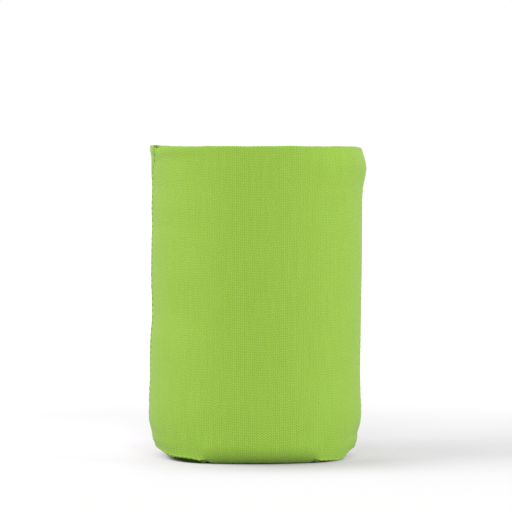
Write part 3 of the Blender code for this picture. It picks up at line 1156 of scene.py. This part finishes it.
# The painted shadow beside the sleeve on the right, the painted light on the left and how far back
# both lie
RIGHT_SHADE, RIGHT_START, RIGHT_END = 0.10, 28 * MM, 42 * MM
LEFT_LIGHT, LEFT_START, LEFT_END = 0.09, -50 * MM, -28 * MM
SIDE_MIDDLE, SIDE_WIDTH = 45 * MM, 85 * MM

# The glow's tint near the base, painted to take out the green light that the sleeve throws on the
# floor, and where it fades to white
NEAR_TINT, FAR_TINT = (1.035, 0.97, 1.06), (1, 1, 1)
TINT_START, TINT_END = 40 * MM, 150 * MM

WORLD_LIGHT = 0.55

# Each soft box: azimuth and elevation in degrees, size in metres and power in watts
LIGHT_DISTANCE = 3.0
LAMPS = {
    "high_left": (-90, 55, 1.6, 28.0),
    "low_left": (-75, 13, 1.3, 29.0),
    "low_right": (75, 13, 1.3, 46.0),
    "front": (0, 30, 1.6, 31.0),
}


def seen_share(tree):
    """1 for what is seen directly, in a reflection or through glass, and 0 for what only lights."""
    path = node(tree, "ShaderNodeLightPath")
    seen = maths(tree, "MAXIMUM", path.outputs["Is Camera Ray"], path.outputs["Is Glossy Ray"])
    return maths(tree, "MAXIMUM", seen, path.outputs["Is Transmission Ray"])


def floor_glow(tree, place):
    """The strength and tint of the floor's glow, fitted to the photo's shade."""
    away = node(tree, "ShaderNodeVectorMath", {0: place}, operation="LENGTH").outputs["Value"]
    apart = node(tree, "ShaderNodeSeparateXYZ", {0: place})
    across, depth = apart.outputs[0], apart.outputs[1]

    cubes = [maths(tree, "POWER", maths(tree, "ABSOLUTE", v), 3.0) for v in (across, depth)]
    past_base = maths(tree, "POWER", total(tree, *cubes), 1 / 3)
    on_right = maths(tree, "MAXIMUM", across, 0.0)
    past_base = total(tree, past_base, maths(tree, "MULTIPLY", on_right, RIGHT_CORNER_GAIN))
    # Held back under and just round the base, the glow leaves the floor's own shade there and
    # darkens it further, as painted contact shadow
    near = smooth_range(tree, past_base, NEAR_START, NEAR_END, 0.0, NEAR_GLOW)
    far = smooth_range(tree, away, FAR_START, FAR_END, 0.0, FAR_GLOW)

    # Painted shadow in front of the base and on the right, and painted light on the left, set into
    # the glow
    front = maths(tree, "MULTIPLY", bell(tree, across, FRONT_MIDDLE[0], FRONT_WIDTH[0]), FRONT_SHADE)
    front = maths(tree, "MULTIPLY", front, bell(tree, depth, FRONT_MIDDLE[1], FRONT_WIDTH[1]))
    right = smooth_range(tree, across, RIGHT_START, RIGHT_END, 0.0, RIGHT_SHADE)
    left = smooth_range(tree, across, LEFT_START, LEFT_END, LEFT_LIGHT, 0.0)
    side = maths(tree, "SUBTRACT", right, left)
    side = maths(tree, "MULTIPLY", bell(tree, depth, SIDE_MIDDLE, SIDE_WIDTH), side)

    strength = maths(tree, "SUBTRACT", total(tree, near, far), total(tree, front, side))
    fade = smooth_range(tree, away, TINT_START, TINT_END, 0.0, 1.0)
    return maths(tree, "MAXIMUM", strength, 0.0), blend_colour(tree, fade, NEAR_TINT, FAR_TINT)


def floor_material():
    """A pale floor, with a glow that brings it to white and only shows where it is seen; the glow
    also paints shadow and light round the base.
    """
    made, tree, shader = new_material("pale_floor")
    shader.inputs["Base Color"].default_value = (FLOOR_GREY, FLOOR_GREY, FLOOR_GREY, 1.0)
    shader.inputs["Roughness"].default_value = 0.9
    shader.inputs["Specular IOR Level"].default_value = 0.0
    strength, tint = floor_glow(tree, node(tree, "ShaderNodeTexCoord").outputs["Object"])
    glow = node(tree, "ShaderNodeEmission", {"Color": tint, "Strength": strength})
    both = node(tree, "ShaderNodeAddShader", {0: shader.outputs[0], 1: glow.outputs[0]})
    inputs = {0: seen_share(tree), 1: shader.outputs[0], 2: both.outputs[0]}
    shown = node(tree, "ShaderNodeMixShader", inputs)
    tree.links.new(shown.outputs[0], tree.nodes["Material Output"].inputs["Surface"])
    return made


def build_floor():
    """The floor, as stage."""
    mesh = bpy.data.meshes.new("floor")
    corners = ((-1, -1), (1, -1), (1, 1), (-1, 1))
    verts = [(x * FLOOR_HALF, y * FLOOR_HALF, FLOOR_HEIGHT) for x, y in corners]
    mesh.from_pydata(verts, [], [(0, 1, 2, 3)])
    mesh.materials.append(floor_material())
    add_object("floor", mesh)


def build_world():
    """A white world that lights less than it shows."""
    world = bpy.data.worlds.new("studio")
    bpy.context.scene.world = world
    world.use_nodes = True
    tree = world.node_tree
    shown = {0: seen_share(tree), 3: WORLD_LIGHT, 4: 1.0}
    strength = node(tree, "ShaderNodeMapRange", shown).outputs[0]
    background = tree.nodes["Background"]
    background.inputs[0].default_value = (1.0, 1.0, 1.0, 1.0)
    tree.links.new(strength, background.inputs[1])


def area_light(name, azimuth, elevation, size, power):
    """A square soft box that looks at the middle of the sleeve."""
    data = bpy.data.lights.new(name, "AREA")
    data.energy = power
    data.size = size
    made = add_object(name, data)
    a, e = math.radians(azimuth), math.radians(elevation)
    back = Vector((math.sin(a) * math.cos(e), -math.cos(a) * math.cos(e), math.sin(e)))
    made.location = back * LIGHT_DISTANCE + Vector((0.0, 0.0, SLEEVE_HEIGHT / 2))
    made.rotation_euler = back.to_track_quat("Z", "Y").to_euler()


def build_camera():
    """The photograph's camera."""
    data = bpy.data.cameras.new("camera")
    data.sensor_width = SENSOR_WIDTH
    data.lens = CAMERA_LENS
    made = add_object("camera", data)
    made.location = (
        math.sin(CAMERA_AZIMUTH) * CAMERA_DISTANCE,
        -math.cos(CAMERA_AZIMUTH) * CAMERA_DISTANCE,
        CAMERA_HEIGHT,
    )
    made.rotation_euler = (math.pi / 2 - CAMERA_PITCH, 0.0, CAMERA_AZIMUTH)
    bpy.context.scene.camera = made


build_floor()
build_world()
for lamp, settings in LAMPS.items():
    area_light(lamp, *settings)
build_camera()
bpy.context.scene.view_settings.view_transform = "Standard"
